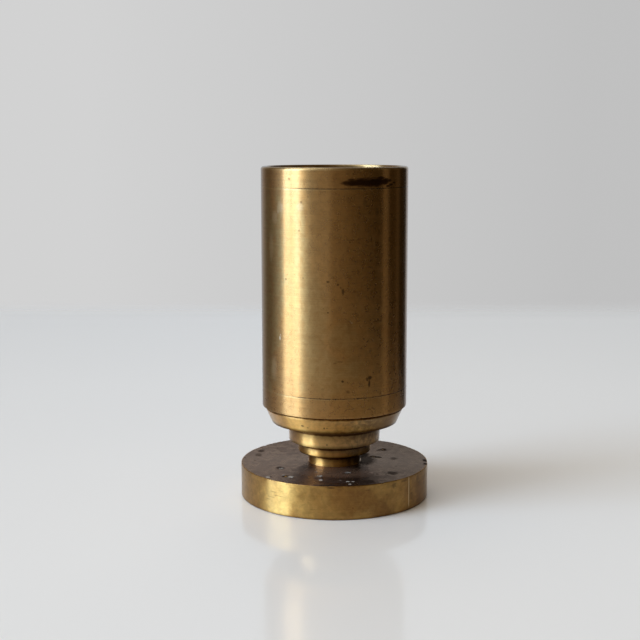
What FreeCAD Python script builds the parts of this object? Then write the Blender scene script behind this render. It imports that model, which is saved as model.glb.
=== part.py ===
import FreeCAD, Part
import os

# A turned brass pencil cup on a stepped pedestal and a heavy disc base.
# Every piece is a solid of revolution about Z. The origin is on the axis, at the plane the base stands on.
# All lengths are in millimetres.

# Driving dimensions: heights of the joints, from the bottom up
BASE_HEIGHT = 14.6
NECK_TOP = 19.6
SMALL_COLLAR_TOP = 24.8
DRUM_COLLAR_TOP = 33.2
TAPER_COLLAR_TOP = 40.6
LOWER_SEAM = 49.2
UPPER_SEAM = 136.2
TOTAL_HEIGHT = 144.8

# Cup: a 2 1/2 inch brass tube with a turned ring at the mouth and a turned plug at the foot
TUBE_RADIUS = 31.75
TUBE_WALL = 1.65
SPIGOT_WALL = 1.1
SPIGOT_LENGTH = 8.0
SPIGOT_GAP = 0.02
RIM_OUTER_ROUND = 1.2
RIM_INNER_ROUND = 0.5
SEAM_BREAK = 0.12
CAP_EDGE_ROUND = 0.2
THREAD_DEPTH = 7.0

# Pedestal: four turned collars stacked on the clamping screw
TAPER_WIDE_RADIUS = 31.0
TAPER_NARROW_RADIUS = 27.6
TAPER_TOP_CHAMFER = 1.2
TAPER_FOOT_ROUND = 0.4
DRUM_TOP_RADIUS = 20.35
DRUM_FOOT_RADIUS = 20.05
DRUM_EDGE_ROUND = 0.2
SMALL_TOP_RADIUS = 16.15
SMALL_FOOT_RADIUS = 16.05
SMALL_TOP_CHAMFER = 0.15
SMALL_EDGE_ROUND = 0.45
NECK_RADIUS = 11.55
NECK_FLANGE_RADIUS = 11.85
NECK_FLANGE_HEIGHT = 0.4
NECK_FLANGE_ROUND = 0.2

# Base disc
BASE_RADIUS = 41.4
BASE_TOP_ROUND = 0.35
BASE_FOOT_ROUND = 0.6
RELIEF_RADIUS = 34.0
RELIEF_DEPTH = 0.8
COUNTERBORE_RADIUS = 8.0
COUNTERBORE_DEPTH = 7.4

# Clamping screw, M8 with a slotted cheese head, entered from under the base
SCREW_RADIUS = 4.0
SCREW_CLEARANCE = 0.3
THREAD_CLEARANCE = 0.02
SCREW_HEAD_RADIUS = 6.5
SCREW_HEAD_HEIGHT = 5.0
SCREW_HEAD_ROUND = 0.5
SCREW_TIP_CHAMFER = 0.8
SCREW_TIP_GAP = 0.8
SLOT_WIDTH = 2.0
SLOT_DEPTH = 2.4

# Worked out from the driving dimensions
TUBE_BORE = TUBE_RADIUS - TUBE_WALL
SPIGOT_RADIUS = TUBE_BORE - SPIGOT_GAP
CUP_BORE = TUBE_BORE - SPIGOT_WALL
SCREW_HOLE = SCREW_RADIUS + SCREW_CLEARANCE
EDGE_TOLERANCE = 1e-4


def turned(section):
    """A solid of revolution about Z from the (radius, height) corners of its section, in order."""
    corners = [FreeCAD.Vector(radius, 0, height) for radius, height in section]
    face = Part.Face(Part.makePolygon(corners + corners[:1]))
    return face.revolve(FreeCAD.Vector(0, 0, 0), FreeCAD.Vector(0, 0, 1), 360)


def sleeve(outer, inner, low, high):
    """The section of a plain ring, as (radius, height) corners."""
    return [(inner, low), (outer, low), (outer, high), (inner, high)]


def rings(shape, radius, height):
    """The shape's circular edges of that radius at that height."""
    found = []
    for edge in shape.Edges:
        if not isinstance(edge.Curve, Part.Circle):
            continue
        near_radius = abs(edge.Curve.Radius - radius) < EDGE_TOLERANCE
        near_height = abs(edge.Curve.Center.z - height) < EDGE_TOLERANCE
        if near_radius and near_height:
            found.append(edge)
    return found


def rounded(shape, size, radius, height):
    """The shape with the corner at that radius and height rounded."""
    return shape.makeFillet(size, rings(shape, radius, height))


def bevelled(shape, size, radius, height):
    """The shape with the corner at that radius and height bevelled."""
    return shape.makeChamfer(size, rings(shape, radius, height))


def rim_ring():
    """The ring round the mouth, with a spigot that goes down inside the tube."""
    ring = turned([
        (CUP_BORE, UPPER_SEAM - SPIGOT_LENGTH),
        (SPIGOT_RADIUS, UPPER_SEAM - SPIGOT_LENGTH),
        (SPIGOT_RADIUS, UPPER_SEAM),
        (TUBE_RADIUS, UPPER_SEAM),
        (TUBE_RADIUS, TOTAL_HEIGHT),
        (CUP_BORE, TOTAL_HEIGHT),
    ])
    ring = rounded(ring, RIM_OUTER_ROUND, TUBE_RADIUS, TOTAL_HEIGHT)
    ring = rounded(ring, RIM_INNER_ROUND, CUP_BORE, TOTAL_HEIGHT)
    return bevelled(ring, SEAM_BREAK, TUBE_RADIUS, UPPER_SEAM)


def cup_tube():
    """The drawn tube between the two seams."""
    tube = turned(sleeve(TUBE_RADIUS, TUBE_BORE, LOWER_SEAM, UPPER_SEAM))
    tube = bevelled(tube, SEAM_BREAK, TUBE_RADIUS, UPPER_SEAM)
    return bevelled(tube, SEAM_BREAK, TUBE_RADIUS, LOWER_SEAM)


def cup_cap():
    """The plug that closes the tube: a solid floor, a spigot inside the tube and a blind threaded hole below."""
    thread = SCREW_RADIUS + THREAD_CLEARANCE
    cap = turned([
        (0, TAPER_COLLAR_TOP + THREAD_DEPTH),
        (thread, TAPER_COLLAR_TOP + THREAD_DEPTH),
        (thread, TAPER_COLLAR_TOP),
        (TUBE_RADIUS, TAPER_COLLAR_TOP),
        (TUBE_RADIUS, LOWER_SEAM),
        (SPIGOT_RADIUS, LOWER_SEAM),
        (SPIGOT_RADIUS, LOWER_SEAM + SPIGOT_LENGTH),
        (CUP_BORE, LOWER_SEAM + SPIGOT_LENGTH),
        (CUP_BORE, LOWER_SEAM),
        (0, LOWER_SEAM),
    ])
    cap = rounded(cap, CAP_EDGE_ROUND, TUBE_RADIUS, TAPER_COLLAR_TOP)
    return bevelled(cap, SEAM_BREAK, TUBE_RADIUS, LOWER_SEAM)


def taper_collar():
    """The widest step, which tapers inwards going down."""
    collar = turned([
        (SCREW_HOLE, DRUM_COLLAR_TOP),
        (TAPER_NARROW_RADIUS, DRUM_COLLAR_TOP),
        (TAPER_WIDE_RADIUS, TAPER_COLLAR_TOP),
        (SCREW_HOLE, TAPER_COLLAR_TOP),
    ])
    collar = rounded(collar, TAPER_FOOT_ROUND, TAPER_NARROW_RADIUS, DRUM_COLLAR_TOP)
    return bevelled(collar, TAPER_TOP_CHAMFER, TAPER_WIDE_RADIUS, TAPER_COLLAR_TOP)


def drum_collar():
    """The tall straight step."""
    collar = turned([
        (SCREW_HOLE, SMALL_COLLAR_TOP),
        (DRUM_FOOT_RADIUS, SMALL_COLLAR_TOP),
        (DRUM_TOP_RADIUS, DRUM_COLLAR_TOP),
        (SCREW_HOLE, DRUM_COLLAR_TOP),
    ])
    return rounded(collar, DRUM_EDGE_ROUND, DRUM_FOOT_RADIUS, SMALL_COLLAR_TOP)


def small_collar():
    """The smallest step, above the neck."""
    collar = turned([
        (SCREW_HOLE, NECK_TOP),
        (SMALL_FOOT_RADIUS, NECK_TOP),
        (SMALL_TOP_RADIUS, SMALL_COLLAR_TOP),
        (SCREW_HOLE, SMALL_COLLAR_TOP),
    ])
    collar = rounded(collar, SMALL_EDGE_ROUND, SMALL_FOOT_RADIUS, NECK_TOP)
    return bevelled(collar, SMALL_TOP_CHAMFER, SMALL_TOP_RADIUS, SMALL_COLLAR_TOP)


def neck_ring():
    """The short neck, with a low flange where it meets the base."""
    flange_top = BASE_HEIGHT + NECK_FLANGE_HEIGHT
    neck = turned([
        (SCREW_HOLE, BASE_HEIGHT),
        (NECK_FLANGE_RADIUS, BASE_HEIGHT),
        (NECK_FLANGE_RADIUS, flange_top),
        (NECK_RADIUS, flange_top),
        (NECK_RADIUS, NECK_TOP),
        (SCREW_HOLE, NECK_TOP),
    ])
    return rounded(neck, NECK_FLANGE_ROUND, NECK_FLANGE_RADIUS, flange_top)


def base_disc():
    """The heavy foot, relieved underneath so that it stands on an outer ring, and counterbored for the screw."""
    disc = turned([
        (SCREW_HOLE, COUNTERBORE_DEPTH),
        (COUNTERBORE_RADIUS, COUNTERBORE_DEPTH),
        (COUNTERBORE_RADIUS, RELIEF_DEPTH),
        (RELIEF_RADIUS, RELIEF_DEPTH),
        (RELIEF_RADIUS, 0),
        (BASE_RADIUS, 0),
        (BASE_RADIUS, BASE_HEIGHT),
        (SCREW_HOLE, BASE_HEIGHT),
    ])
    disc = rounded(disc, BASE_TOP_ROUND, BASE_RADIUS, BASE_HEIGHT)
    return rounded(disc, BASE_FOOT_ROUND, BASE_RADIUS, 0)


def clamp_screw():
    """The slotted screw that pulls the cup, the collars and the base together."""
    head_low = COUNTERBORE_DEPTH - SCREW_HEAD_HEIGHT
    tip = TAPER_COLLAR_TOP + THREAD_DEPTH - SCREW_TIP_GAP
    screw = turned([
        (0, head_low),
        (SCREW_HEAD_RADIUS, head_low),
        (SCREW_HEAD_RADIUS, COUNTERBORE_DEPTH),
        (SCREW_RADIUS, COUNTERBORE_DEPTH),
        (SCREW_RADIUS, tip),
        (0, tip),
    ])
    screw = rounded(screw, SCREW_HEAD_ROUND, SCREW_HEAD_RADIUS, head_low)
    screw = bevelled(screw, SCREW_TIP_CHAMFER, SCREW_RADIUS, tip)
    corner = FreeCAD.Vector(-2 * SCREW_HEAD_RADIUS, -SLOT_WIDTH / 2, head_low - SLOT_DEPTH)
    slot = Part.makeBox(4 * SCREW_HEAD_RADIUS, SLOT_WIDTH, 2 * SLOT_DEPTH, corner)
    return screw.cut(slot)


PIECES = {
    "rim_ring": rim_ring,
    "cup_tube": cup_tube,
    "cup_cap": cup_cap,
    "taper_collar": taper_collar,
    "drum_collar": drum_collar,
    "small_collar": small_collar,
    "neck_ring": neck_ring,
    "base_disc": base_disc,
    "clamp_screw": clamp_screw,
}


def main():
    os.makedirs("parts", exist_ok=True)
    for name, make in PIECES.items():
        shape = make()
        if len(shape.Solids) != 1 or not shape.isValid():
            raise ValueError(name + " is not one valid solid")
        shape.Solids[0].exportStep("parts/" + name + ".step")
        print(name, round(shape.Volume), "cubic millimetres")


main()
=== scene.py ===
import math

import bmesh
import bpy
from mathutils import Matrix, Vector, noise


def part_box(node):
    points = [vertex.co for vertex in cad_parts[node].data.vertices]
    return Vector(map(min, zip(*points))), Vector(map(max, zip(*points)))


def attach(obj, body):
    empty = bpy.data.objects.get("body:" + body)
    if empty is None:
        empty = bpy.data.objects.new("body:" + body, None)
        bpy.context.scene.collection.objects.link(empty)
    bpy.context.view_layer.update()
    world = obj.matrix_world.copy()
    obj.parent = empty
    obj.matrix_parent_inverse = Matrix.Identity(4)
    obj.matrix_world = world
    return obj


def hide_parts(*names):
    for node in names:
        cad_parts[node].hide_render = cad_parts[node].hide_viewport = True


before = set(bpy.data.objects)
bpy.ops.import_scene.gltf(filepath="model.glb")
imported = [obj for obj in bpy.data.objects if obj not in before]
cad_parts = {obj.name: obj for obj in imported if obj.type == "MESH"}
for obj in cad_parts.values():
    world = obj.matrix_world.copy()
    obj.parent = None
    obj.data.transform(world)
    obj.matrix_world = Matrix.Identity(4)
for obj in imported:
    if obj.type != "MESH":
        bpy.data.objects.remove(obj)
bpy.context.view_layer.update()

# A turned brass pencil cup on a stepped pedestal and a disc base. Everything handed to Blender is in
# metres, and a number times MM is a length in millimetres. The materials count in millimetres. Azimuths
# are degrees round Z from the side that faces the camera (-Y), positive towards +X.
MM = 0.001
SEGMENTS = 384
BASE_SEGMENTS = 576
SCREW_SEGMENTS = 96
LONGEST_SPAN = 0.8 * MM
SHARP_ANGLE = math.radians(24)
ARC_STEP_DEGREES = 10
ON_AXIS = 1e-9


def node_size(node):
    """A CAD node's outer radius and its lowest and highest heights."""
    low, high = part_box(node)
    return high.x, low.z, high.z


def add_object(name, data):
    """A new object in the scene."""
    thing = bpy.data.objects.new(name, data)
    bpy.context.scene.collection.objects.link(thing)
    return thing


def mesh_data(name, mesh):
    """A bmesh as mesh data."""
    data = bpy.data.meshes.new(name)
    mesh.to_mesh(data)
    mesh.free()
    return data


# ---------------------------------------------------------------------------------------------------
# Sections and lathe meshes
# ---------------------------------------------------------------------------------------------------

def corner_points(before, here, after, size):
    """The arc, of radius size, that rounds the corner here between its two neighbours."""
    back = (before - here).normalized()
    on = (after - here).normalized()
    half = back.angle(on) / 2
    centre = here + (back + on).normalized() * (size / math.sin(half))
    start = (here + back * (size / math.tan(half)) - centre).normalized()
    stop = (here + on * (size / math.tan(half)) - centre).normalized()
    steps = max(3, round(math.degrees(start.angle(stop)) / ARC_STEP_DEGREES))
    return [centre + start.slerp(stop, step / steps) * size for step in range(steps + 1)]


def section(corners, longest):
    """A closed section's points from its (radius, height, rounding) corners, with no span above longest.
    A corner's fourth value, where it has one, is the limit for the span that follows it."""
    points = []
    limits = []
    for index, (radius, height, size, *limit) in enumerate(corners):
        here = Vector((radius, height))
        if size > 0:
            before = Vector(corners[index - 1][:2])
            after = Vector(corners[(index + 1) % len(corners)][:2])
            points.extend(corner_points(before, here, after, size))
        else:
            points.append(here)
        limits.extend([*limit, longest][0] for _ in range(len(points) - len(limits)))
    filled = []
    for index, here in enumerate(points):
        after = points[(index + 1) % len(points)]
        parts = max(1, math.ceil((after - here).length / limits[index]))
        along_axis = here.x < ON_AXIS and after.x < ON_AXIS
        filled.extend(here.lerp(after, part / parts) for part in range(1 if along_axis else parts))
    return filled


def lathe_vertices(points, segments):
    """The vertices of a turned section, and for each of its points the row of their indices.
    A point on the axis is one vertex."""
    rows = []
    vertices = []
    for point in points:
        on_axis = point.x < ON_AXIS
        row = []
        for step in range(1 if on_axis else segments):
            angle = 2 * math.pi * step / segments
            row.append(len(vertices))
            vertices.append((point.x * math.cos(angle), point.x * math.sin(angle), point.y))
        rows.append(row * segments if on_axis else row)
    return vertices, rows


def lathe(name, points, segments=SEGMENTS):
    """An object made by turning a closed section about Z."""
    vertices, rows = lathe_vertices(points, segments)
    faces = []
    for low, high in zip(rows, rows[1:] + rows[:1]):
        for step in range(segments):
            after = (step + 1) % segments
            corners = [low[step], low[after], high[after], high[step]]
            face = list(dict.fromkeys(corners))
            if len(face) > 2:
                faces.append(face)
    mesh = bpy.data.meshes.new(name)
    mesh.from_pydata(vertices, [], faces)
    return add_object(name, mesh)


def finish_piece(piece, node, material):
    """Smooth shading with the turned corners kept crisp. The piece then stands for its CAD node."""
    piece.data.validate()
    piece.data.shade_smooth()
    piece.data.set_sharp_from_angle(angle=SHARP_ANGLE)
    piece.data.update()
    piece.data.materials.append(material)
    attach(piece, "root")
    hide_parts(node)


# ---------------------------------------------------------------------------------------------------
# Node graphs
# ---------------------------------------------------------------------------------------------------

class Graph:
    """Short calls for building a tree of shader nodes. A value is a socket, a number or a colour."""

    def __init__(self, tree):
        self.nodes = tree.nodes
        self.links = tree.links
        self.nodes.clear()

    def put(self, socket, value):
        """Links a socket to another one, or sets it to a number or a colour."""
        if isinstance(value, bpy.types.NodeSocket):
            self.links.new(value, socket)
        elif value is not None:
            socket.default_value = value

    def math(self, operation, first, second=None):
        node = self.nodes.new("ShaderNodeMath")
        node.operation = operation
        self.put(node.inputs[0], first)
        self.put(node.inputs[1], second)
        return node.outputs[0]

    def chain(self, operation, first, *others):
        """One operation on several values in turn."""
        for other in others:
            first = self.math(operation, first, other)
        return first

    def product(self, *values):
        return self.chain("MULTIPLY", *values)

    def total(self, *values):
        return self.chain("ADD", *values)

    def greatest(self, *values):
        return self.chain("MAXIMUM", *values)

    def minus(self, first, second):
        return self.math("SUBTRACT", first, second)

    def length(self, first, second):
        """The length of the line whose two sides these are."""
        return self.math("SQRT", self.total(self.product(first, first), self.product(second, second)))

    def turn(self, x, y):
        """The azimuth of a direction, in radians."""
        return self.math("ARCTAN2", x, self.product(y, -1))

    def between(self, value, low, high, out_low=0.0, out_high=1.0, ease="SMOOTHSTEP"):
        """Value taken from the range low to high into the range out_low to out_high, and held there."""
        node = self.nodes.new("ShaderNodeMapRange")
        node.interpolation_type = ease
        self.put(node.inputs["Value"], value)
        node.inputs["From Min"].default_value = low
        node.inputs["From Max"].default_value = high
        node.inputs["To Min"].default_value = out_low
        node.inputs["To Max"].default_value = out_high
        return node.outputs[0]

    def ripple(self, value, reach):
        """A noise as a push either way: half of reach at the most."""
        return self.product(self.minus(value, 0.5), reach)

    def split(self, value):
        node = self.nodes.new("ShaderNodeSeparateXYZ")
        self.put(node.inputs[0], value)
        return node.outputs[0], node.outputs[1], node.outputs[2]

    def join(self, first, second, third):
        node = self.nodes.new("ShaderNodeCombineXYZ")
        self.put(node.inputs[0], first)
        self.put(node.inputs[1], second)
        self.put(node.inputs[2], third)
        return node.outputs[0]

    def scaled(self, vector, scale):
        node = self.nodes.new("ShaderNodeVectorMath")
        node.operation = "SCALE"
        self.put(node.inputs[0], vector)
        self.put(node.inputs["Scale"], scale)
        return node.outputs[0]

    def noise(self, place, scale, detail, rough=0.5, twist=0.0):
        node = self.nodes.new("ShaderNodeTexNoise")
        self.put(node.inputs["Vector"], place)
        node.inputs["Scale"].default_value = scale
        node.inputs["Detail"].default_value = detail
        node.inputs["Roughness"].default_value = rough
        node.inputs["Distortion"].default_value = twist
        return node.outputs[0]

    def cells(self, place, scale):
        """The distance from the middle of a random cell, and the cell's own random colour."""
        node = self.nodes.new("ShaderNodeTexVoronoi")
        self.put(node.inputs["Vector"], place)
        node.inputs["Scale"].default_value = scale
        return node.outputs["Distance"], node.outputs["Color"]

    def mix(self, share, first, second, blend="MIX"):
        node = self.nodes.new("ShaderNodeMix")
        node.data_type = "RGBA"
        node.blend_type = blend
        self.put(node.inputs[0], share)
        self.put(node.inputs[6], first)
        self.put(node.inputs[7], second)
        return node.outputs[2]

    def layers(self, colour, *coats):
        """The colour with other colours laid over it in turn, each given as (mask, colour)."""
        for mask, tint in coats:
            colour = self.mix(mask, colour, tint)
        return colour

    def shaded(self, colour, *shades):
        """The colour times grey levels that lie round 1."""
        shade = self.product(*shades)
        return self.mix(1.0, colour, self.join(shade, shade, shade), "MULTIPLY")

    def bump(self, height, distance, normal=None):
        node = self.nodes.new("ShaderNodeBump")
        node.inputs["Strength"].default_value = 1.0
        node.inputs["Distance"].default_value = distance
        self.put(node.inputs["Height"], height)
        self.put(node.inputs["Normal"], normal)
        return node.outputs[0]


# On every metal: the turn that lays the highlights across the lathe marks, and the thin coat's roughness
ACROSS_THE_MARKS = 0.25
COAT_ROUGHNESS = 0.2


class Surface(Graph):
    """The nodes of one material, with the place on the object in millimetres and its azimuth in degrees."""

    def __init__(self, name):
        self.material = bpy.data.materials.new(name)
        self.material.use_nodes = True
        super().__init__(self.material.node_tree)
        self.shader = self.nodes.new("ShaderNodeBsdfPrincipled")
        output = self.nodes.new("ShaderNodeOutputMaterial")
        self.links.new(self.shader.outputs[0], output.inputs["Surface"])
        coordinates = self.nodes.new("ShaderNodeTexCoord")
        self.place = self.scaled(coordinates.outputs["Object"], 1 / MM)
        self.x, self.y, self.z = self.split(self.place)
        self.radius = self.length(self.x, self.y)
        self.azimuth = self.math("DEGREES", self.turn(self.x, self.y))

    def feed(self, values):
        """Fills sockets of the shader, by name."""
        for name, value in values.items():
            self.put(self.shader.inputs[name], value)

    def metal(self, colour, roughness, normal, metallic=1.0, anisotropy=1.0, coat=0.0):
        """Makes the surface turned metal: its highlights spread across the lathe marks."""
        tangent = self.nodes.new("ShaderNodeTangent")
        tangent.direction_type = "RADIAL"
        tangent.axis = "Z"
        self.feed({
            "Base Color": colour,
            "Metallic": metallic,
            "Roughness": roughness,
            "Anisotropic": anisotropy,
            "Anisotropic Rotation": ACROSS_THE_MARKS,
            "Tangent": tangent.outputs[0],
            "Coat Weight": coat,
            "Coat Roughness": COAT_ROUGHNESS,
            "Normal": normal,
        })
        return self.material


# ---------------------------------------------------------------------------------------------------
# Marks that several materials have
# ---------------------------------------------------------------------------------------------------

# Where a mark's edge begins and ends, in half widths from its middle
MARK_FULL = 0.45
MARK_GONE = 1.15
# How far the lathe marks are drawn out round the axis, and how rough they are
MARKS_DRAWN_OUT = 0.012
MARKS_ROUGH = 0.75


def mark_group():
    """A node group whose output is 1 inside one soft, ragged oval mark, and 0 outside it."""
    group = bpy.data.node_groups.new("side_mark", "ShaderNodeTree")
    for name in ("Around", "Up", "Wobble", "At around", "At up", "Half width", "Half height"):
        group.interface.new_socket(name=name, in_out="INPUT", socket_type="NodeSocketFloat")
    group.interface.new_socket(name="Mask", in_out="OUTPUT", socket_type="NodeSocketFloat")
    g = Graph(group)
    start = g.nodes.new("NodeGroupInput")
    stop = g.nodes.new("NodeGroupOutput")
    around, up, wobble, at_around, at_up, half_width, half_height = start.outputs[:7]
    across = g.math("DIVIDE", g.minus(around, at_around), half_width)
    along = g.math("DIVIDE", g.minus(up, at_up), half_height)
    ragged = g.total(g.length(across, along), wobble)
    g.put(stop.inputs[0], g.between(ragged, MARK_FULL, MARK_GONE, 1.0, 0.0))
    return group


def marks(g, group, around, up, wobble, places):
    """The strongest of several marks. Each place is (around, up, half width, half height, strength)."""
    masks = []
    for *place, strength in places:
        node = g.nodes.new("ShaderNodeGroup")
        node.node_tree = group
        for socket, value in zip(node.inputs, (around, up, wobble, *place)):
            g.put(socket, value)
        masks.append(g.product(node.outputs[0], strength))
    return g.greatest(*masks)


def lathe_marks(g, scale, detail=5.0):
    """Fine rings round the axis, the same on sides and on faces."""
    slow_x = g.product(g.x, MARKS_DRAWN_OUT)
    slow_y = g.product(g.y, MARKS_DRAWN_OUT)
    return g.noise(g.join(slow_x, slow_y, g.total(g.z, g.radius)), scale, detail, MARKS_ROUGH)


def dark_specks(g, cell, share, size):
    """Small random tarnish specks, in that share of cells that are cell mm wide. Size is in cells."""
    distance, colour = g.cells(g.place, 1 / cell)
    chance, strength, _ = g.split(colour)
    chosen = g.math("LESS_THAN", chance, share)
    return g.product(g.between(distance, size * 0.35, size, 1.0, 0.0), chosen, strength)


# ---------------------------------------------------------------------------------------------------
# The cup's brass
# ---------------------------------------------------------------------------------------------------

# Marks on the cup: (azimuth, height, half width, half height, strength), in degrees and mm. First the
# small dark spots, then the smear of tarnish below the mouth, and then the pale spots
CUP_SPOTS = [
    (-35.9, 140.1, 0.7, 0.6, 0.55),
    (-25.5, 130.8, 0.6, 0.6, 0.5),
    (-27.3, 119.0, 0.45, 0.45, 0.5),
    (23.1, 130.8, 1.2, 1.6, 0.35),
    (33.3, 126.6, 1.0, 2.0, 0.3),
    (-39.4, 98.7, 0.45, 0.45, 0.9),
    (-38.2, 100.6, 0.3, 0.3, 0.5),
    (-24.1, 99.6, 0.4, 0.45, 0.5),
    (-4.8, 98.3, 0.8, 0.5, 0.85),
    (-0.9, 100.4, 0.5, 0.6, 0.3),
    (2.6, 97.1, 0.6, 0.6, 0.8),
    (4.6, 95.9, 0.5, 0.6, 0.6),
    (6.4, 94.2, 0.8, 1.7, 0.75),
    (-4.8, 85.5, 0.5, 0.4, 0.8),
    (-8.0, 87.2, 0.4, 0.4, 0.35),
    (4.2, 65.0, 1.7, 0.45, 0.45),
    (0.6, 64.4, 0.9, 0.4, 0.35),
    (6.1, 56.7, 0.6, 0.6, 0.9),
    (27.6, 57.6, 1.1, 1.0, 0.9),
    (25.6, 57.2, 0.8, 1.0, 0.75),
    (27.3, 55.2, 0.6, 1.7, 0.95),
    (10.3, 52.2, 0.8, 0.8, 0.5),
    (-9.0, 53.4, 0.8, 0.5, 0.3),
]
SMEAR = [
    (14.4, 138.6, 5.1, 1.35, 1.0),
    (9.6, 138.6, 3.0, 1.05, 0.9),
    (12.9, 139.8, 2.1, 0.60, 0.8),
    (22.2, 138.8, 6.7, 2.00, 1.0),
    (32.3, 138.9, 6.3, 2.10, 1.0),
    (36.9, 140.4, 2.6, 0.81, 0.9),
    (40.8, 139.0, 2.8, 1.55, 1.0),
    (44.0, 137.1, 1.4, 0.49, 0.8),
    (45.6, 139.3, 1.4, 0.66, 0.9),
    (47.3, 137.6, 1.2, 0.58, 0.8),
    (50.9, 138.4, 1.0, 0.41, 0.7),
]
PALE_SPOTS = [
    (-47.5, 126.7, 0.6, 1.1, 0.30),
    (-46.2, 73.4, 0.6, 1.1, 0.9),
    (-45.6, 74.8, 0.3, 0.5, 0.7),
    (-45.2, 128.4, 2.0, 2.6, 0.22),
    (-26.3, 128.8, 1.8, 2.0, 0.12),
    (-52.0, 124.0, 2.2, 3.0, 0.16),
    (-54.0, 60.0, 2.4, 6.0, 0.22),
    (-57.0, 112.0, 2.0, 7.0, 0.16),
    (13.2, 81.2, 0.4, 0.4, 0.4),
    (12.0, 82.0, 0.3, 0.3, 0.3),
]
# Where the brass has turned olive, more than elsewhere
OLIVE_PATCHES = [
    (-60.0, 92.0, 8.5, 56.0, 1.0),
    (-48.0, 108.0, 4.8, 34.0, 0.8),
    (-26.4, 115.3, 3.0, 24.0, 0.6),
    (-23.3, 84.5, 3.4, 40.0, 0.50),
    (-15.0, 74.2, 6.5, 27.0, 0.40),
    (-6.0, 59.5, 9.4, 10.9, 0.45),
    (4.2, 74.2, 8.4, 8.4, 0.35),
    (11.8, 61.5, 6.9, 5.9, 0.45),
    (-120.0, 80.0, 22.0, 40.0, 0.6),
    (140.0, 100.0, 16.0, 30.0, 0.5),
]

CUP_CLEAN = (0.425, 0.224, 0.070, 1)
CUP_BROWN = (0.395, 0.202, 0.060, 1)
CUP_ROSE = (0.385, 0.210, 0.070, 1)
CUP_OLIVE = (0.37, 0.265, 0.105, 1)
# This dark tarnish colour is also laid on the steps' right side as painted shade
TARNISH_AND_SHADE = (0.016, 0.007, 0.003, 1)
REDDISH = (0.16, 0.055, 0.018, 1)
PALE_OXIDE = (0.62, 0.50, 0.33, 1)
INSIDE_BROWN = (0.24, 0.14, 0.055, 1)
SMEAR_BROWN = (0.042, 0.016, 0.005, 1)
# Painted highlights along the edges of the seams
SEAM_GLINT = (0.60, 0.40, 0.16, 1)
# The rim's rubbed top: worn brass and partly a painted highlight
RUBBED_EDGE_AND_GLINT = (0.70, 0.50, 0.22, 1)

# In mm: the cup's radius, the radius and height that bound its inside, the heights between which the
# inside's brown fades out at the mouth, and those between which the rim's top is rubbed bright, partly a
# painted highlight
CUP_RADIUS = 31.75
INSIDE_RADIUS = 30.3
INSIDE_FLOOR = 48.0
MOUTH_FADE = (139.5, 143.0)
RUBBED_AND_GLINT_BAND = (143.2, 144.2)
# In degrees: on the cup's left the seams catch the light, and these are the ends of that side
SEAM_LEFT_FRONT = (-38, -22)
SEAM_LEFT_BACK = (-170, -120)
# How far below a seam its lower edge catches the light, in mm
SEAM_EDGE_BELOW = 0.42


def seam_lines_and_glints(g):
    """Thin broken lines where the tube meets its rings: dark in the seams, and a painted highlight along
    their edges, strongest on the left.
    """
    left = g.product(
        g.between(g.azimuth, *SEAM_LEFT_FRONT, 1.0, 0.0),
        g.between(g.azimuth, *SEAM_LEFT_BACK),
    )
    gaps = g.noise(g.place, scale=0.7, detail=4.0, rough=0.7)
    broken = g.between(gaps, 0.38, 0.52, 0.35, 1.0)
    dark = []
    light = []
    for height in node_size("cup_tube")[1:]:
        offset = g.minus(g.z, height / MM)
        near = g.between(g.math("ABSOLUTE", offset), 0.12, 0.24, 1.0, 0.0)
        below = g.math("ABSOLUTE", g.total(offset, SEAM_EDGE_BELOW))
        under = g.between(below, 0.10, 0.26, 1.0, 0.0)
        dark.append(g.product(near, broken, g.between(left, 0, 1, 0.85, 0.15)))
        # A painted highlight on the seam's edge: on the left, and faintly all round just below the seam
        pale = g.greatest(g.product(near, left), g.product(under, 0.45))
        light.append(g.product(pale, broken, 0.8))
    return g.greatest(*dark), g.greatest(*light)


def cup_marks(g, group, wobble, places):
    """Marks whose places are given by azimuth."""
    mm_per_degree = math.radians(CUP_RADIUS)
    around = g.product(g.azimuth, mm_per_degree)
    placed = [(azimuth * mm_per_degree, *rest) for azimuth, *rest in places]
    return marks(g, group, around, g.z, wobble, placed)


def olive_share(g, group, mottle):
    """How far the brass has turned olive."""
    drift = g.ripple(g.noise(g.place, scale=0.12, detail=4.0, rough=0.6, twist=0.6), 1.6)
    patches = cup_marks(g, group, drift, OLIVE_PATCHES)
    return g.product(patches, g.between(mottle, 0.36, 0.60, 0.35, 1.0))


def dark_smear(g, group):
    """The smear of tarnish below the mouth, brushed out round the cup."""
    brushed = g.join(g.product(g.x, 0.35), g.product(g.y, 0.35), g.z)
    wobble = g.ripple(g.noise(brushed, scale=1.1, detail=5.0, rough=0.65), 1.1)
    return cup_marks(g, group, wobble, SMEAR)


def cup_patina(g, mottle, fine, grooves, olive):
    """The cup's colour without its spots: clean and brown clouds, a rosy haze and olive patches."""
    cloud = g.noise(g.place, scale=0.045, detail=4.0, rough=0.55, twist=0.3)
    haze = g.noise(g.place, scale=0.13, detail=5.0, rough=0.6, twist=0.8)
    colour = g.layers(
        CUP_CLEAN,
        (g.between(cloud, 0.38, 0.66), CUP_BROWN),
        (g.between(haze, 0.44, 0.62, 0.0, 0.5), CUP_ROSE),
        (g.product(olive, 0.85), CUP_OLIVE),
    )
    return g.shaded(
        colour,
        g.between(mottle, 0.36, 0.64, 0.92, 1.08),
        g.between(grooves, 0.3, 0.7, 0.91, 1.09),
        g.between(fine, 0.35, 0.65, 0.95, 1.05),
    )


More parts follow.
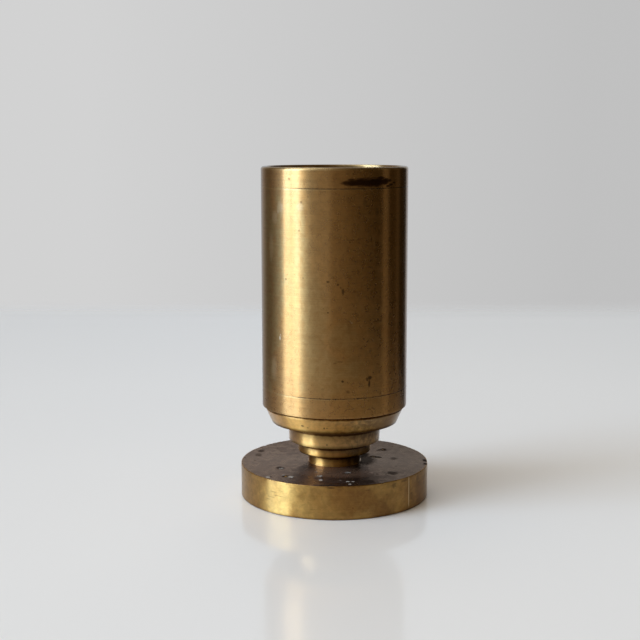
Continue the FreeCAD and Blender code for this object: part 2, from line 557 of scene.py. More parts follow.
def cup_material():
    """Aged, hand-rubbed brass with olive mottling, tarnish spots and a dark smear at the mouth."""
    g = Surface("aged_cup_brass")
    group = mark_group()
    grooves = lathe_marks(g, 2.6)
    mottle = g.noise(g.place, scale=0.42, detail=6.0, rough=0.62, twist=0.5)
    fine = g.noise(g.place, scale=1.9, detail=4.0, rough=0.6)
    wobble = g.ripple(g.noise(g.place, scale=1.1, detail=4.0, rough=0.65), 1.5)
    olive = olive_share(g, group, mottle)
    specks = dark_specks(g, cell=5.5, share=0.11, size=0.09)
    dark = g.greatest(cup_marks(g, group, wobble, CUP_SPOTS), g.product(specks, 0.75))
    pale = cup_marks(g, group, wobble, PALE_SPOTS)
    smear = dark_smear(g, group)
    # edge is the painted highlight along the seams, line the dark in them
    line, edge = seam_lines_and_glints(g)
    inside = g.product(
        g.math("LESS_THAN", g.radius, INSIDE_RADIUS),
        g.math("GREATER_THAN", g.z, INSIDE_FLOOR),
        g.between(g.z, *MOUTH_FADE, 1.0, 0.2),
    )
    # The rim's top: rubbed brass, and a painted highlight on its rounding
    rubbed_and_lit = g.product(g.between(g.z, *RUBBED_AND_GLINT_BAND), g.between(fine, 0.35, 0.55, 0.25, 0.45))
    colour = g.layers(
        cup_patina(g, mottle, fine, grooves, olive),
        (g.product(g.between(smear, 0.02, 0.35), 0.35), REDDISH),
        (pale, PALE_OXIDE),
        (g.product(dark, 0.85), TARNISH_AND_SHADE),
        (g.product(smear, 0.95), SMEAR_BROWN),
        (edge, SEAM_GLINT),
        (line, TARNISH_AND_SHADE),
        (g.product(inside, 0.8), INSIDE_BROWN),
        (rubbed_and_lit, RUBBED_EDGE_AND_GLINT),
    )
    roughness = g.total(
        0.27,
        g.product(olive, 0.07),
        g.between(mottle, 0.35, 0.65, 0.0, 0.03),
        g.product(g.greatest(dark, smear, inside), 0.14),
    )
    normal = g.bump(mottle, 0.02 * MM, g.bump(grooves, 0.004 * MM))
    metallic = g.minus(1.0, g.product(pale, 0.4))
    coat = g.product(g.minus(1.0, g.greatest(dark, smear)), 0.3)
    return g.metal(colour, roughness, normal, metallic=metallic, coat=coat)


# ---------------------------------------------------------------------------------------------------
# The pedestal's brass
# ---------------------------------------------------------------------------------------------------

STEP_CLEAN = (0.72, 0.410, 0.112, 1)
STEP_BROWN = (0.58, 0.300, 0.070, 1)
# The colour of painted shade: under the steps' overhangs, at their feet, and along the base's bottom edge
PAINTED_SHADE = (0.042, 0.011, 0.001, 1)
# Marks on the steps: (azimuth, height, half width, half height, strength), in degrees and mm. The wide ones
# on the right are painted shade
STEP_SPOTS_AND_SHADE = [
    (-27.6, 36.4, 1.6, 0.45, 0.8),
    (-23.0, 35.8, 1.2, 0.4, 0.6),
    (-8.5, 36.0, 0.9, 0.5, 0.9),
    (-6.2, 36.0, 0.8, 0.45, 0.8),
    (14.6, 38.6, 2.5, 0.3, 0.6),
    (58.4, 22.6, 6.0, 0.9, 0.9),
    # From here on: wide darkening of the steps' right side, away from the window, which is painted shade
    (52.0, 21.4, 32.0, 3.0, 0.60),
    (62.0, 17.4, 40.0, 4.0, 0.90),
    (20.0, 17.8, 14.0, 2.0, 0.45),
    (86.0, 28.5, 52.0, 8.0, 0.35),
    (78.0, 36.5, 78.0, 14.0, 0.70),
]
# Painted shade at the top of each step, under the overhang of the one above: how far down it is black and
# how far down it fades out, in mm, and how dark the fading part is
SHADE_UNDER_STEP = {
    "taper_collar": (0.85, 1.60, 0.5),
    "drum_collar": (3.2, 6.6, 0.52),
    "small_collar": (2.1, 3.5, 0.45),
    "neck_ring": (2.0, 3.6, 0.5),
}
# Painted shade at the foot of a step: how far up it fades out, in mm, and how dark it is
SHADE_AT_FOOT = {"small_collar": (0.9, 0.88), "drum_collar": (1.6, 0.50), "taper_collar": (1.9, 0.85)}


def painted_step_shade(g, mottle):
    """Painted shade in the inside corner under each overhanging step, and at the feet of the steps."""
    masks = []
    wobble = g.ripple(mottle, 0.7)
    for node, (black, fade, strength) in SHADE_UNDER_STEP.items():
        _, low, high = node_size(node)
        below = g.total(g.minus(high / MM, g.z), wobble)
        on_step = g.product(
            g.math("GREATER_THAN", g.z, low / MM),
            g.math("LESS_THAN", g.z, high / MM + 0.01),
        )
        core = g.between(below, black * 0.82, black * 1.08, 0.93, 0.0)
        tail = g.between(below, black * 0.8, fade, strength, 0.0)
        masks.append(g.product(g.greatest(core, tail), on_step))
    for node, (reach, strength) in SHADE_AT_FOOT.items():
        above = g.minus(g.z, node_size(node)[1] / MM)
        on_step = g.product(
            g.math("GREATER_THAN", above, -0.01),
            g.between(above, 0.0, 0.12, 0.45, 1.0),
        )
        masks.append(g.product(g.between(above, 0.1, reach, strength, 0.0), on_step))
    return g.greatest(*masks)


def pedestal_material():
    """Warmer, cleaner brass, with painted shade where one step meets the next and on the side away from the
    window.
    """
    g = Surface("aged_step_brass")
    grooves = lathe_marks(g, 3.2)
    mottle = g.noise(g.place, scale=0.5, detail=5.0, rough=0.6, twist=0.4)
    cloud = g.noise(g.place, scale=0.09, detail=3.0)
    specks = dark_specks(g, cell=3.2, share=0.25, size=0.16)
    spots_and_shade = marks(g, mark_group(), g.azimuth, g.z, g.minus(mottle, 0.5), STEP_SPOTS_AND_SHADE)
    step_shade = painted_step_shade(g, mottle)
    clean = g.shaded(
        g.mix(g.between(cloud, 0.4, 0.65), STEP_CLEAN, STEP_BROWN),
        g.between(mottle, 0.35, 0.65, 0.9, 1.08),
        g.between(grooves, 0.3, 0.7, 0.93, 1.07),
    )
    # Tarnish specks and spots, then painted shade in the corners between steps
    colour = g.layers(clean, (g.product(g.greatest(specks, spots_and_shade), 0.85), TARNISH_AND_SHADE), (step_shade, PAINTED_SHADE))
    coat = g.minus(0.65, g.product(step_shade, 0.65))
    return g.metal(colour, 0.37, g.bump(grooves, 0.006 * MM), coat=coat)


# ---------------------------------------------------------------------------------------------------
# The side of the base
# ---------------------------------------------------------------------------------------------------

SIDE_CLEAN = (0.53, 0.305, 0.080, 1)
SIDE_BROWN = (0.36, 0.178, 0.040, 1)
BRIGHT_LINE = (0.95, 0.74, 0.40, 1)
# The azimuth of an upright line that is rubbed bright
BRIGHT_LINE_AZIMUTH = 49.8
# Marks on the side: (distance round from the front, height, half width, half height, strength), in mm
SCRATCHES = [
    (-27.5, 9.6, 2.6, 0.16, 0.7),
    (-25.0, 8.3, 3.4, 0.15, 0.6),
    (-29.0, 7.2, 2.4, 0.14, 0.55),
    (-24.0, 10.6, 1.8, 0.12, 0.5),
    (-31.0, 6.0, 1.2, 0.2, 0.4),
    (-1.5, 13.9, 2.4, 0.35, 0.8),
    (-8.5, 4.4, 2.0, 0.18, 0.3),
    (14.0, 12.3, 1.3, 0.5, 0.35),
    (38.0, 7.0, 0.8, 0.5, 0.35),
    (27.0, 12.6, 1.6, 1.2, 0.55),
    (33.0, 13.6, 2.2, 0.6, 0.6),
    (43.0, 12.4, 1.2, 2.0, 0.5),
    (62.0, 9.0, 10.0, 7.5, 0.30),
    (84.0, 14.2, 1.5, 0.8, 1.0),
    (89.5, 14.0, 1.2, 1.1, 1.0),
    (79.0, 14.4, 1.6, 0.4, 0.9),
]


def base_side_material():
    """Turned golden brass with brown blotches and a few scratches."""
    g = Surface("aged_base_brass")
    around = g.product(g.azimuth, math.radians(node_size("base_disc")[0] / MM))
    grooves = lathe_marks(g, 2.6)
    mottle = g.noise(g.place, scale=0.4, detail=6.0, rough=0.6, twist=0.6)
    cloud = g.noise(g.place, scale=0.07, detail=4.0, rough=0.55, twist=0.3)
    specks = dark_specks(g, cell=3.6, share=0.25, size=0.15)
    wobble = g.ripple(g.noise(g.place, scale=0.9, detail=4.0, rough=0.65), 2.4)
    scratches = marks(g, mark_group(), around, g.z, wobble, SCRATCHES)
    off_line = g.math("ABSOLUTE", g.minus(g.azimuth, BRIGHT_LINE_AZIMUTH))
    line = g.product(g.between(off_line, 0.17, 0.58, 0.85, 0.0), g.between(g.z, 0.6, 2.5))
    clean = g.shaded(
        g.mix(g.between(cloud, 0.4, 0.66), SIDE_CLEAN, SIDE_BROWN),
        g.between(mottle, 0.33, 0.67, 0.84, 1.12),
        g.between(grooves, 0.3, 0.7, 0.94, 1.06),
    )
    colour = g.layers(
        clean,
        (g.product(g.greatest(specks, scratches), 0.8), TARNISH_AND_SHADE),
        # Painted contact shadow: darker towards the bottom edge of the base
        (g.between(g.z, 0.0, 1.3, 0.55, 0.0), PAINTED_SHADE),
        (line, BRIGHT_LINE),
    )
    return g.metal(colour, 0.40, g.bump(grooves, 0.006 * MM), coat=0.3)


# ---------------------------------------------------------------------------------------------------
# The top of the base
# ---------------------------------------------------------------------------------------------------

TOP_PATINA = (0.185, 0.106, 0.064, 1)
TOP_VIOLET = (0.138, 0.080, 0.058, 1)
TOP_STAIN_AND_SHADE = (0.022, 0.012, 0.008, 1)
TOP_RUBBED_AND_LIT = (0.34, 0.18, 0.10, 1)
TOP_CRUST = (0.52, 0.46, 0.37, 1)
TOP_GLARE = (1.0, 0.86, 0.74, 1)
# Marks on top of the base: (x, y, half width, half depth, strength), in mm. First the dark stains, among
# them painted shade right of the neck, then the pale crusts, and then the part in front that is rubbed
# lighter, partly painted light
TOP_STAINS_AND_SHADE = [
    (17.6, 5.2, 2.0, 2.0, 1.0),
    (19.8, 4.6, 1.6, 1.4, 0.9),
    (22.6, 18.0, 1.6, 2.4, 0.8),
    (20.3, 17.0, 1.2, 1.6, 0.5),
    (26.6, 2.6, 2.2, 2.4, 0.55),
    (24.9, -21.0, 2.6, 2.6, 0.55),
    (14.1, -34.0, 4.0, 3.0, 0.4),
    (-34.4, 8.6, 1.8, 2.8, 0.45),
    (-33.6, 15.5, 1.8, 2.8, 0.5),
    (-20.9, -26.2, 1.7, 1.8, 0.95),
    (-23.6, -13.2, 2.2, 2.4, 0.6),
    (-27.6, -27.0, 1.1, 1.2, 0.6),
    (0.5, -33.5, 9.0, 4.0, 0.35),
    (-3.5, -39.8, 5.0, 1.5, 0.85),
    (6.8, -35.6, 3.0, 2.2, 0.6),
    (5.2, -21.6, 2.2, 1.8, 0.6),
    (-6.5, -28.5, 2.6, 3.6, 0.5),
    (2.5, -32.1, 1.2, 1.2, 0.6),
    (40.6, -0.6, 1.5, 2.2, 1.0),
    (40.2, -6.1, 1.3, 1.8, 1.0),
    (9.6, 19.0, 1.5, 1.8, 0.6),
    # These three wide dark marks right of and behind the neck are painted shade of the pedestal
    (14.0, 0.0, 5.0, 9.0, 0.8),
    (12.5, 8.0, 4.0, 6.0, 0.9),
    (9.0, 13.0, 4.0, 4.0, 0.7),
    (4.5, 33.5, 2.2, 2.0, 0.5),
]
TOP_CRUSTS = [
    (-28.1, -27.8, 1.00, 0.95, 1.0),
    (-23.2, -13.9, 1.25, 1.10, 0.8),
    (-18.4, -27.4, 1.40, 1.25, 1.0),
    (-21.6, -24.6, 0.70, 0.70, 0.7),
    (-6.1, -26.1, 1.35, 1.10, 1.0),
    (-5.7, -32.1, 0.90, 1.00, 1.0),
    (6.0, -20.5, 1.60, 1.10, 1.0),
    (5.6, -34.2, 0.90, 0.90, 0.9),
    (7.8, -34.2, 0.80, 0.80, 0.8),
    (6.4, -38.0, 0.80, 0.90, 0.9),
    (2.6, -32.4, 0.55, 0.60, 0.6),
    (-7.9, -19.7, 0.70, 0.80, 0.5),
]
TOP_RUBBED_AND_LIT_PART = [(2.0, -20.0, 18.0, 10.0, 1.0)]
# Where the rim's rounding wears through the patina: radii in mm
WORN_EDGE = (40.75, 41.1)


def top_patina(g, mottle, grain, grooves):
    """The patina's colour, without its marks."""
    colour = g.mix(g.between(mottle, 0.40, 0.60), TOP_PATINA, TOP_VIOLET)
    return g.shaded(
        colour,
        g.between(grain, 0.3, 0.7, 0.78, 1.22),
        g.between(grooves, 0.3, 0.7, 0.92, 1.08),
    )


def base_top_material():
    """A dull brown-violet patina with stains and pale crusty specks, painted shade on its right, and a
    front part rubbed lighter and partly painted light.
    """
    g = Surface("base_patina")
    group = mark_group()
    mottle = g.noise(g.place, scale=0.28, detail=7.0, rough=0.62, twist=0.8)
    grain = g.noise(g.place, scale=1.6, detail=6.0, rough=0.7)
    grooves = lathe_marks(g, 2.2)
    wobble = g.ripple(g.noise(g.place, scale=0.8, detail=5.0, rough=0.7), 1.6)
    specks = dark_specks(g, cell=4.5, share=0.3, size=0.16)
    stains_and_shade = g.greatest(marks(g, group, g.x, g.y, wobble, TOP_STAINS_AND_SHADE), g.product(specks, 0.7))
    crusts = marks(g, group, g.x, g.y, wobble, TOP_CRUSTS)
    crusts = g.product(crusts, g.between(grain, 0.30, 0.50, 0.45, 1.0))
    # The part in front of the neck: rubbed lighter, and partly painted light
    rubbed_and_lit = marks(g, group, g.x, g.y, 0.0, TOP_RUBBED_AND_LIT_PART)
    # Painted shade: darker towards the right, the side away from the window
    shadow_side = g.minus(g.total(g.x, 4.0), g.product(g.math("ABSOLUTE", g.y), 0.15))
    worn = g.product(
        g.between(g.radius, *WORN_EDGE),
        g.between(mottle, 0.35, 0.55),
        g.minus(1.0, stains_and_shade),
    )
    colour = g.layers(
        top_patina(g, mottle, grain, grooves),
        (g.between(shadow_side, 8, 26, 0.0, 0.6), TOP_STAIN_AND_SHADE),
        (g.product(rubbed_and_lit, 0.7), TOP_RUBBED_AND_LIT),
        (stains_and_shade, TOP_STAIN_AND_SHADE),
        (crusts, TOP_CRUST),
        (worn, SIDE_BROWN),
    )
    roughness = g.total(
        g.between(mottle, 0.35, 0.65, 0.26, 0.36),
        g.product(crusts, 0.3),
        g.product(stains_and_shade, 0.5),
    )
    metallic = g.minus(0.90, g.greatest(g.product(crusts, 0.8), g.product(rubbed_and_lit, 0.35)))
    lumps = g.product(grain, g.total(1.0, g.product(stains_and_shade, 9.0)))
    normal = g.bump(lumps, 0.03 * MM, g.bump(grooves, 0.006 * MM))
    g.feed({"Specular Tint": TOP_GLARE})
    return g.metal(colour, roughness, normal, metallic=metallic, anisotropy=0.7)


# ---------------------------------------------------------------------------------------------------
# The screw
# ---------------------------------------------------------------------------------------------------

STEEL = (0.42, 0.41, 0.39, 1)
STEEL_STAIN = (0.24, 0.21, 0.18, 1)


def screw_material():
    """Dull bright-zinc steel."""
    g = Surface("dull_steel")
    grooves = lathe_marks(g, 4.0, 4.0)
    stain = g.noise(g.place, scale=0.6, detail=5.0, rough=0.6, twist=0.3)
    colour = g.mix(g.between(stain, 0.45, 0.7), STEEL, STEEL_STAIN)
    return g.metal(colour, 0.38, g.bump(grooves, 0.01 * MM), anisotropy=0.5)


# ---------------------------------------------------------------------------------------------------
# Pieces, from the bottom up. Each takes its main sizes from its CAD node.
# ---------------------------------------------------------------------------------------------------

# Sizes that the boxes of the CAD nodes don't tell, the same as in the CAD
SCREW_HOLE = 4.3 * MM
THREAD_HOLE = 4.02 * MM
THREAD_DEPTH = 7.0 * MM
RELIEF_RADIUS = 34.0 * MM
RELIEF_DEPTH = 0.8 * MM
COUNTERBORE_RADIUS = 8.0 * MM
COUNTERBORE_DEPTH = 7.4 * MM
FLANGE_STEP = 0.3 * MM
FLANGE_HEIGHT = 0.4 * MM
TAPER_NARROW = 27.6 * MM
TAPER_WIDE = 31.0 * MM
TAPER_BEVEL = 1.2 * MM
TUBE_BORE = 30.1 * MM
SPIGOT_RADIUS = 30.08 * MM
CUP_BORE = 29.0 * MM
SEAM_BREAK = 0.12 * MM
SHANK_RADIUS = 4.0 * MM
SCREW_HEAD_HEIGHT = 5.0 * MM
SLOT_WIDTH = 2.0 * MM
SLOT_DEPTH = 2.4 * MM
# Inside this radius the neck hides the base's top, whose mesh is coarser there
NECK_COVER = 11.4 * MM
# The bar that cuts the screw's slot is longer than the head is wide
CUTTER_LENGTH = 30 * MM

# Pits and crusty specks on top of the base: (x, y, radius, depth, height of the raised edge), in mm
TOP_PITS = [
    (-28.1, -27.6, 0.7, 0.05, 0.12),
    (-23.7, -13.5, 1.3, 0.14, 0.06),
    (-20.7, -26.2, 1.2, 0.40, 0.05),
    (-18.2, -27.4, 1.0, 0.10, 0.12),
    (-6.1, -25.9, 0.9, 0.10, 0.12),
    (-5.6, -31.9, 0.6, 0.08, 0.08),
    (6.1, -20.5, 1.1, 0.12, 0.10),
    (4.6, -34.9, 0.8, 0.12, 0.08),
    (6.6, -34.6, 0.7, 0.12, 0.08),
    (8.2, -35.4, 0.6, 0.10, 0.05),
    (6.3, -37.4, 0.5, 0.08, 0.06),
    (17.4, 5.6, 1.5, 0.45, 0.04),
    (19.6, 4.8, 1.1, 0.35, 0.04),
    (22.8, 18.4, 1.3, 0.40, 0.04),
    (27.0, 23.5, 0.7, 0.12, 0.04),
    (-7.9, -19.7, 0.6, 0.08, 0.05),
    (-33.7, 20.8, 1.0, 0.14, 0.04),
    (-12.5, 30.6, 0.9, 0.14, 0.05),
    (4.5, 33.5, 1.1, 0.16, 0.06),
    (-24.0, 14.5, 0.8, 0.12, 0.05),
]
# A pit's outline is made ragged by a noise of this scale and strength. Its raised edge lies at this
# share of its radius and is this wide
PIT_NOISE = 1.7
PIT_RAGGED = 0.35
PIT_EDGE_AT = 1.05
PIT_EDGE_WIDTH = 0.28
# In mm: pits keep clear of the neck and of the rim, and move only the top face
PITS_OUTSIDE = 12.5
PITS_FROM_RIM = 0.4
TOP_SKIN = 0.02
# Knocks along the top edge of the base: (azimuth, length, depth), in degrees and mm
EDGE_KNOCKS = [
    (87.0, 1.4, 0.30),
    (91.0, 0.9, 0.22),
    (80.5, 0.8, 0.15),
    (-3.0, 2.2, 0.10),
    (4.5, 1.0, 0.08),
    (-46.0, 0.9, 0.10),
    (147.0, 1.2, 0.20),
    (-128.0, 1.0, 0.16),
]
# How far from the corner vertices may move and how fast a knock fades out there, in mm, and the share of
# its depth that goes down and that goes inwards
KNOCK_ZONE = 1.2
KNOCK_FADE = 0.7
KNOCK_SLANT = 0.7
# How far down the rim's rounding the top's patina goes, and how level a face with it is
PATINA_DEPTH = 0.25 * MM
PATINA_SLOPE = 0.6


def pit_height(x, y):
    """How far a point of the base's top is lowered or raised by the pits, in mm."""
    change = 0.0
    for at_x, at_y, size, depth, lip in TOP_PITS:
        reach = math.hypot(x - at_x, y - at_y)
        if reach > size * 2:
            continue
        wander = noise.noise(Vector((x * PIT_NOISE, y * PIT_NOISE, at_x)))
        ragged = reach / size + PIT_RAGGED * wander
        bowl = max(0.0, 1 - ragged * ragged)
        edge = math.exp(-((ragged - PIT_EDGE_AT) / PIT_EDGE_WIDTH) ** 2)
        change += lip * edge - depth * bowl
    return change


def knock_depth(x, y, z, rim, top):
    """How far a point near the base's top corner goes down, and as far inwards, in mm."""
    azimuth = math.degrees(math.atan2(x, -y))
    corner = math.hypot(math.hypot(x, y) - rim, z - top)
    amount = 0.0
    for at, length, depth in EDGE_KNOCKS:
        along = math.radians(azimuth - at) * rim / length
        amount += depth * math.exp(-along * along - (corner / KNOCK_FADE) ** 2)
    return KNOCK_SLANT * amount


def weather_base(piece, rim, top):
    """Puts the pits into the top face and the knocks into its edge. The rim and the top are in mm."""
    for vertex in piece.data.vertices:
        x, y, z = vertex.co / MM
        radius = math.hypot(x, y)
        if z > top - TOP_SKIN and PITS_OUTSIDE < radius < rim - PITS_FROM_RIM:
            vertex.co.z += pit_height(x, y) * MM
        if z > top - KNOCK_ZONE and radius > rim - KNOCK_ZONE:
            push = knock_depth(x, y, z, rim, top) * MM
            vertex.co -= Vector((x / radius, y / radius, 1)) * push


def mark_top_faces(piece, top):
    """Gives the faces of the base's top the second material."""
    for face in piece.data.polygons:
        if face.center.z > top - PATINA_DEPTH and face.normal.z > PATINA_SLOPE:
            face.material_index = 1


def make_base(side_material, top_material):
    radius, low, high = node_size("base_disc")
    relief_top = low + RELIEF_DEPTH
    recess_top = low + COUNTERBORE_DEPTH
    points = section([
        (SCREW_HOLE, recess_top, 0),
        (COUNTERBORE_RADIUS, recess_top, 0.3 * MM),
        (COUNTERBORE_RADIUS, relief_top, 0.25 * MM),
        (RELIEF_RADIUS, relief_top, 0.15 * MM),
        (RELIEF_RADIUS, low, 0.2 * MM),
        (radius, low, 0.6 * MM, 1.5 * MM),
        (radius, high, 0.35 * MM, 0.5 * MM),
        (NECK_COVER, high, 0, 3.0 * MM),
        (SCREW_HOLE, high, 0.2 * MM),
    ], 2.5 * MM)
    piece = lathe("foot_disc", points, BASE_SEGMENTS)
    weather_base(piece, radius / MM, high / MM)
    finish_piece(piece, "base_disc", side_material)
    piece.data.materials.append(top_material)
    mark_top_faces(piece, high)


def make_step(name, node, outline, material, longest=LONGEST_SPAN):
    """A step of the pedestal, bored for the screw. The outline is its outer corners, from the bottom up."""
    _, low, high = node_size(node)
    points = section([(SCREW_HOLE, low, 0), *outline, (SCREW_HOLE, high, 0)], longest)
    finish_piece(lathe(name, points), node, material)


def make_neck(material):
    radius, low, high = node_size("neck_ring")
    shaft = radius - FLANGE_STEP
    outline = [
        (radius, low, 0),
        (radius, low + FLANGE_HEIGHT, 0.2 * MM),
        (shaft, low + FLANGE_HEIGHT, 0.05 * MM),
        (shaft, high, 0.1 * MM),
    ]
    make_step("neck_step", "neck_ring", outline, material, 0.4 * MM)


def make_small(material):
    radius, low, high = node_size("small_collar")
    outline = [
        (radius - 0.1 * MM, low, 0.45 * MM),
        (radius - 0.02 * MM, high, 0.15 * MM),
    ]
    make_step("small_step", "small_collar", outline, material)


def make_drum(material):
    radius, low, high = node_size("drum_collar")
    outline = [
        (radius - 0.3 * MM, low, 0.2 * MM),
        (radius, high, 0.1 * MM),
    ]
    make_step("drum_step", "drum_collar", outline, material)


def make_taper(material):
    _, low, high = node_size("taper_collar")
    outline = [
        (TAPER_NARROW, low, 0.4 * MM),
        (TAPER_WIDE - 0.48 * TAPER_BEVEL, high - TAPER_BEVEL, 0.2 * MM),
        (TAPER_WIDE - TAPER_BEVEL, high, 0.1 * MM),
    ]
    make_step("taper_step", "taper_collar", outline, material)


def make_cap(material):
    radius, low, high = node_size("cup_cap")
    seam = node_size("cup_tube")[1]
    thread_top = low + THREAD_DEPTH
    points = section([
        (0, thread_top, 0),
        (THREAD_HOLE, thread_top, 0),
        (THREAD_HOLE, low, 0),
        (radius, low, 0.2 * MM),
        (radius, seam, SEAM_BREAK),
        (SPIGOT_RADIUS, seam, 0),
        (SPIGOT_RADIUS, high, 0),
        (CUP_BORE, high, 0.2 * MM),
        (CUP_BORE, seam, 0.6 * MM),
        (0, seam, 0),
    ], LONGEST_SPAN)
    finish_piece(lathe("cup_floor", points), "cup_cap", material)


def make_tube(material):
    radius, low, high = node_size("cup_tube")
    points = section([
        (TUBE_BORE, low, 0),
        (radius, low, SEAM_BREAK),
        (radius, high, SEAM_BREAK),
        (TUBE_BORE, high, 0),
    ], 1.0 * MM)
    finish_piece(lathe("drawn_tube", points), "cup_tube", material)


def make_rim(material):
    radius, low, high = node_size("rim_ring")
    seam = node_size("cup_tube")[2]
    points = section([
        (CUP_BORE, low, 0.2 * MM),
        (SPIGOT_RADIUS, low, 0),
        (SPIGOT_RADIUS, seam, 0),
        (radius, seam, SEAM_BREAK),
        (radius, high, 1.2 * MM),
        (CUP_BORE, high, 0.5 * MM),
    ], LONGEST_SPAN)
    finish_piece(lathe("mouth_ring", points), "rim_ring", material)


def slot_cutter(low):
    """A bar that passes right through the screw's head, twice as deep as the slot."""
    mesh = bmesh.new()
    bmesh.ops.create_cube(mesh, size=1.0)
    bmesh.ops.scale(mesh, vec=(CUTTER_LENGTH, SLOT_WIDTH, 2 * SLOT_DEPTH), verts=mesh.verts)
    bmesh.ops.translate(mesh, vec=(0, 0, low), verts=mesh.verts)
    return add_object("slot_cutter", mesh_data("slot_cutter", mesh))


def cut_away(piece, cutter):
    """Takes the cutter's shape out of the piece."""
    modifier = piece.modifiers.new("slot", "BOOLEAN")
    modifier.operation = "DIFFERENCE"
    modifier.solver = "EXACT"
    modifier.object = cutter
    bpy.context.view_layer.update()
    cut = piece.evaluated_get(bpy.context.evaluated_depsgraph_get())
    shape = bpy.data.meshes.new_from_object(cut)
    piece.modifiers.clear()
    piece.data = shape
    bpy.data.objects.remove(cutter)


def make_screw(material):
    radius, low, high = node_size("clamp_screw")
    head_top = low + SCREW_HEAD_HEIGHT
    points = section([
        (0, low, 0),
        (radius, low, 0.5 * MM),
        (radius, head_top, 0.2 * MM),
        (SHANK_RADIUS, head_top, 0.2 * MM),
        (SHANK_RADIUS, high, 0.8 * MM),
        (0, high, 0),
    ], LONGEST_SPAN)
    piece = lathe("slotted_screw", points, SCREW_SEGMENTS)
    cut_away(piece, slot_cutter(low))
    finish_piece(piece, "clamp_screw", material)


# ---------------------------------------------------------------------------------------------------
# Camera, floor and light
# ---------------------------------------------------------------------------------------------------

# The camera, from the outline's proportions: distances in radii of the base, and angles in degrees
BASE_RADIUS = node_size("base_disc")[0]
CAMERA_DISTANCE = 12.486 * BASE_RADIUS
CAMERA_HEIGHT = 3.769 * BASE_RADIUS
CAMERA_PITCH = 8.61
CAMERA_YAW = 0.70
CAMERA_ROLL = -0.07
CAMERA_LENS = 67.04
SENSOR_WIDTH = 36.0

# The table: the brass mirrors only the part near it, and beyond the far part there is the backdrop
TABLE_COLOUR = (0.91, 0.825, 0.715, 1)
TABLE_ROUGHNESS = 0.12
TABLE_NEAR = 150 * MM
TABLE_FAR = 1600 * MM
SECTOR_DEGREES = 4
# In mm: where the table fades out behind the object, and all round it
FADE_BEHIND = (505, 650)
FADE_AROUND = (1000, 1500)

# Light. Sizes are in metres. The windows are two panels beside each other, each in two bands that give
# (name, lower edge, upper edge, radiance)
DAYLIGHT = (0.37, 0.575, 0.95)
WINDOW_DISTANCE = 2.2
WINDOW_WIDTH = 0.54
WINDOW_SIDES = (("left", -78.3), ("right", -62.3))
WINDOW_BANDS = (("low", 0.0, 0.75, 7.3), ("high", 0.75, 2.4, 4.2))
CEILING_LIGHT = (1.0, 0.94, 0.86)
CEILING_WIDTH = 1.6
CEILING_PLACE = (-0.2, 0.2, 1.6)
CEILING_RADIANCE = 1.18
# The room that the brass mirrors: (azimuth, level of the red light) all the way round
ROOM_LEVELS = [
    (-180, 0.50), (-163, 0.45), (-153, 0.38), (-144, 0.30), (-132, 0.15), (-118, 0.20), (-106, 0.38),
    (-93, 0.8), (-83, 2.4), (-58, 2.6), (-48, 1.05), (-39, 0.58), (-37, 0.50), (-24, 0.40), (-12, 0.40),
    (-4, 0.28), (-1, 0.23), (17, 0.18), (20, 0.145), (32, 0.115), (50, 0.082), (70, 0.043), (81, 0.038),
    (82, 0.20), (93, 0.18), (94, 0.053), (111, 0.048), (113, 0.095), (121, 0.095), (123, 0.033),
    (148, 0.02), (156, 0.45),
]
# The plain backdrop's grey level at the left and at the right, and how far out those are
BACKDROP_LEVELS = (0.645, 0.53)
BACKDROP_REACH = 0.2


def add_camera():
    camera = bpy.data.cameras.new("view")
    camera.lens = CAMERA_LENS
    camera.sensor_width = SENSOR_WIDTH
    camera.clip_start = 0.01
    camera.clip_end = 50.0
    holder = add_object("view", camera)
    turn = Matrix.Rotation(math.radians(CAMERA_YAW), 4, "Z")
    turn = turn @ Matrix.Rotation(math.radians(90 - CAMERA_PITCH), 4, "X")
    turn = turn @ Matrix.Rotation(math.radians(CAMERA_ROLL), 4, "Z")
    holder.matrix_world = Matrix.Translation((0, -CAMERA_DISTANCE, CAMERA_HEIGHT)) @ turn
    bpy.context.scene.camera = holder


def floor_material():
    """A pale satin table that fades into the background at its edge."""
    g = Surface("pale_table")
    behind = g.between(g.y, *FADE_BEHIND, 1.0, 0.0)
    around = g.between(g.radius, *FADE_AROUND, 1.0, 0.0)
    g.feed({
        "Base Color": TABLE_COLOUR,
        "Roughness": TABLE_ROUGHNESS,
        "Alpha": g.product(behind, around),
    })
    return g.material


def add_sector(mesh, inner, outer, start, stop):
    """One flat sector of the table, by azimuth."""
    corners = []
    for radius, azimuth in ((inner, start), (outer, start), (outer, stop), (inner, stop)):
        angle = math.radians(azimuth)
        corner = (radius * math.sin(angle), -radius * math.cos(angle), 0)
        if corner not in corners:
            corners.append(corner)
    mesh.faces.new([mesh.verts.new(corner) for corner in corners])


def add_floor():
    """The table, in two parts: the brass shows reflections only of the part near it."""
    material = floor_material()
    parts = (("table_near", 0, TABLE_NEAR, True), ("table_far", TABLE_NEAR, TABLE_FAR, False))
    for name, inner, outer, mirrored in parts:
        mesh = bmesh.new()
        for start in range(0, 360, SECTOR_DEGREES):
            add_sector(mesh, inner, outer, start, start + SECTOR_DEGREES)
        table = add_object(name, mesh_data(name, mesh))
        table.data.materials.append(material)
        table.visible_glossy = mirrored


def add_light(name, width, height, radiance, colour):
    """A rectangular light that the camera doesn't see."""
    light = bpy.data.lights.new(name, "AREA")
    light.shape = "RECTANGLE"
    light.size = width
    light.size_y = height
    light.color = colour
    light.energy = radiance * math.pi * width * height
    holder = add_object(name, light)
    holder.visible_camera = False
    return holder


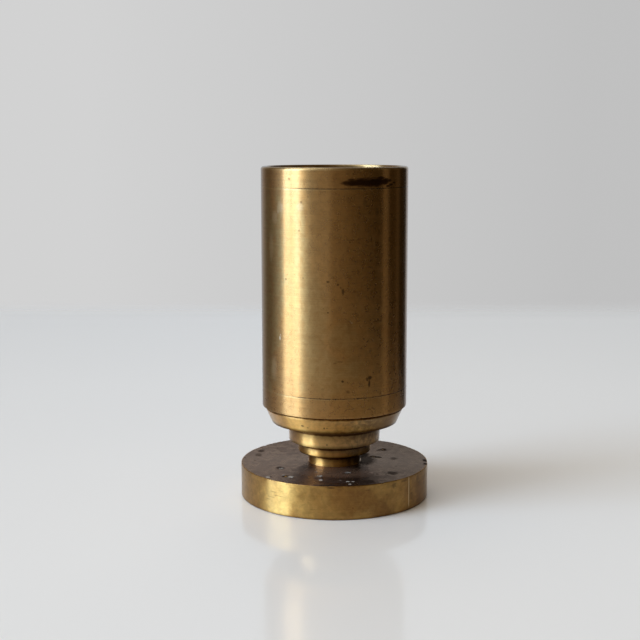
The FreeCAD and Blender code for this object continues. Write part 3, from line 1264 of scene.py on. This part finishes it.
def add_windows():
    """Soft panels of daylight at the left, which face the object."""
    for side, azimuth in WINDOW_SIDES:
        angle = math.radians(azimuth)
        out = Vector((WINDOW_DISTANCE * math.sin(angle), -WINDOW_DISTANCE * math.cos(angle), 0))
        facing = (-out).to_track_quat("-Z", "Y").to_matrix().to_4x4()
        for band, low, high, radiance in WINDOW_BANDS:
            name = "window_" + band + "_" + side
            holder = add_light(name, WINDOW_WIDTH, high - low, radiance, DAYLIGHT)
            middle = out + Vector((0, 0, (low + high) / 2))
            holder.matrix_world = Matrix.Translation(middle) @ facing


def add_ceiling():
    """A warm soft light overhead, which the brass doesn't mirror."""
    holder = add_light("ceiling", CEILING_WIDTH, CEILING_WIDTH, CEILING_RADIANCE, CEILING_LIGHT)
    holder.location = CEILING_PLACE
    holder.visible_glossy = False


def room_colour(level):
    """The room's light at a level: warm where it is dim, and cool daylight where it is bright."""
    cool = min(1.0, level / 0.6)
    return (level, level * (0.69 + 0.51 * cool), level * (0.26 + 1.2 * cool), 1)


def add_world():
    """The camera sees a plain pale backdrop. The brass sees a dim room with that backdrop behind it."""
    world = bpy.data.worlds.new("room")
    bpy.context.scene.world = world
    world.use_nodes = True
    g = Graph(world.node_tree)
    coordinates = g.nodes.new("ShaderNodeTexCoord")
    x, y, _ = g.split(coordinates.outputs["Generated"])
    room = g.nodes.new("ShaderNodeValToRGB")
    g.put(room.inputs[0], g.between(g.turn(x, y), -math.pi, math.pi, ease="LINEAR"))
    ramp = room.color_ramp
    while len(ramp.elements) < len(ROOM_LEVELS):
        ramp.elements.new(0.5)
    for element, (azimuth, level) in zip(ramp.elements, ROOM_LEVELS):
        element.position = (azimuth + 180) / 360
        element.color = room_colour(level)
    backdrop = g.between(x, -BACKDROP_REACH, BACKDROP_REACH, *BACKDROP_LEVELS, ease="LINEAR")
    path = g.nodes.new("ShaderNodeLightPath")
    background = g.nodes.new("ShaderNodeBackground")
    g.put(background.inputs[0], g.mix(path.outputs["Is Camera Ray"], room.outputs[0], backdrop))
    output = g.nodes.new("ShaderNodeOutputWorld")
    g.put(output.inputs[0], background.outputs[0])


def main():
    make_base(base_side_material(), base_top_material())
    steps = pedestal_material()
    make_neck(steps)
    make_small(steps)
    make_drum(steps)
    make_taper(steps)
    cup = cup_material()
    make_cap(cup)
    make_tube(cup)
    make_rim(cup)
    make_screw(screw_material())
    add_camera()
    add_floor()
    add_windows()
    add_ceiling()
    add_world()
    bpy.context.scene.view_settings.view_transform = "Standard"


main()
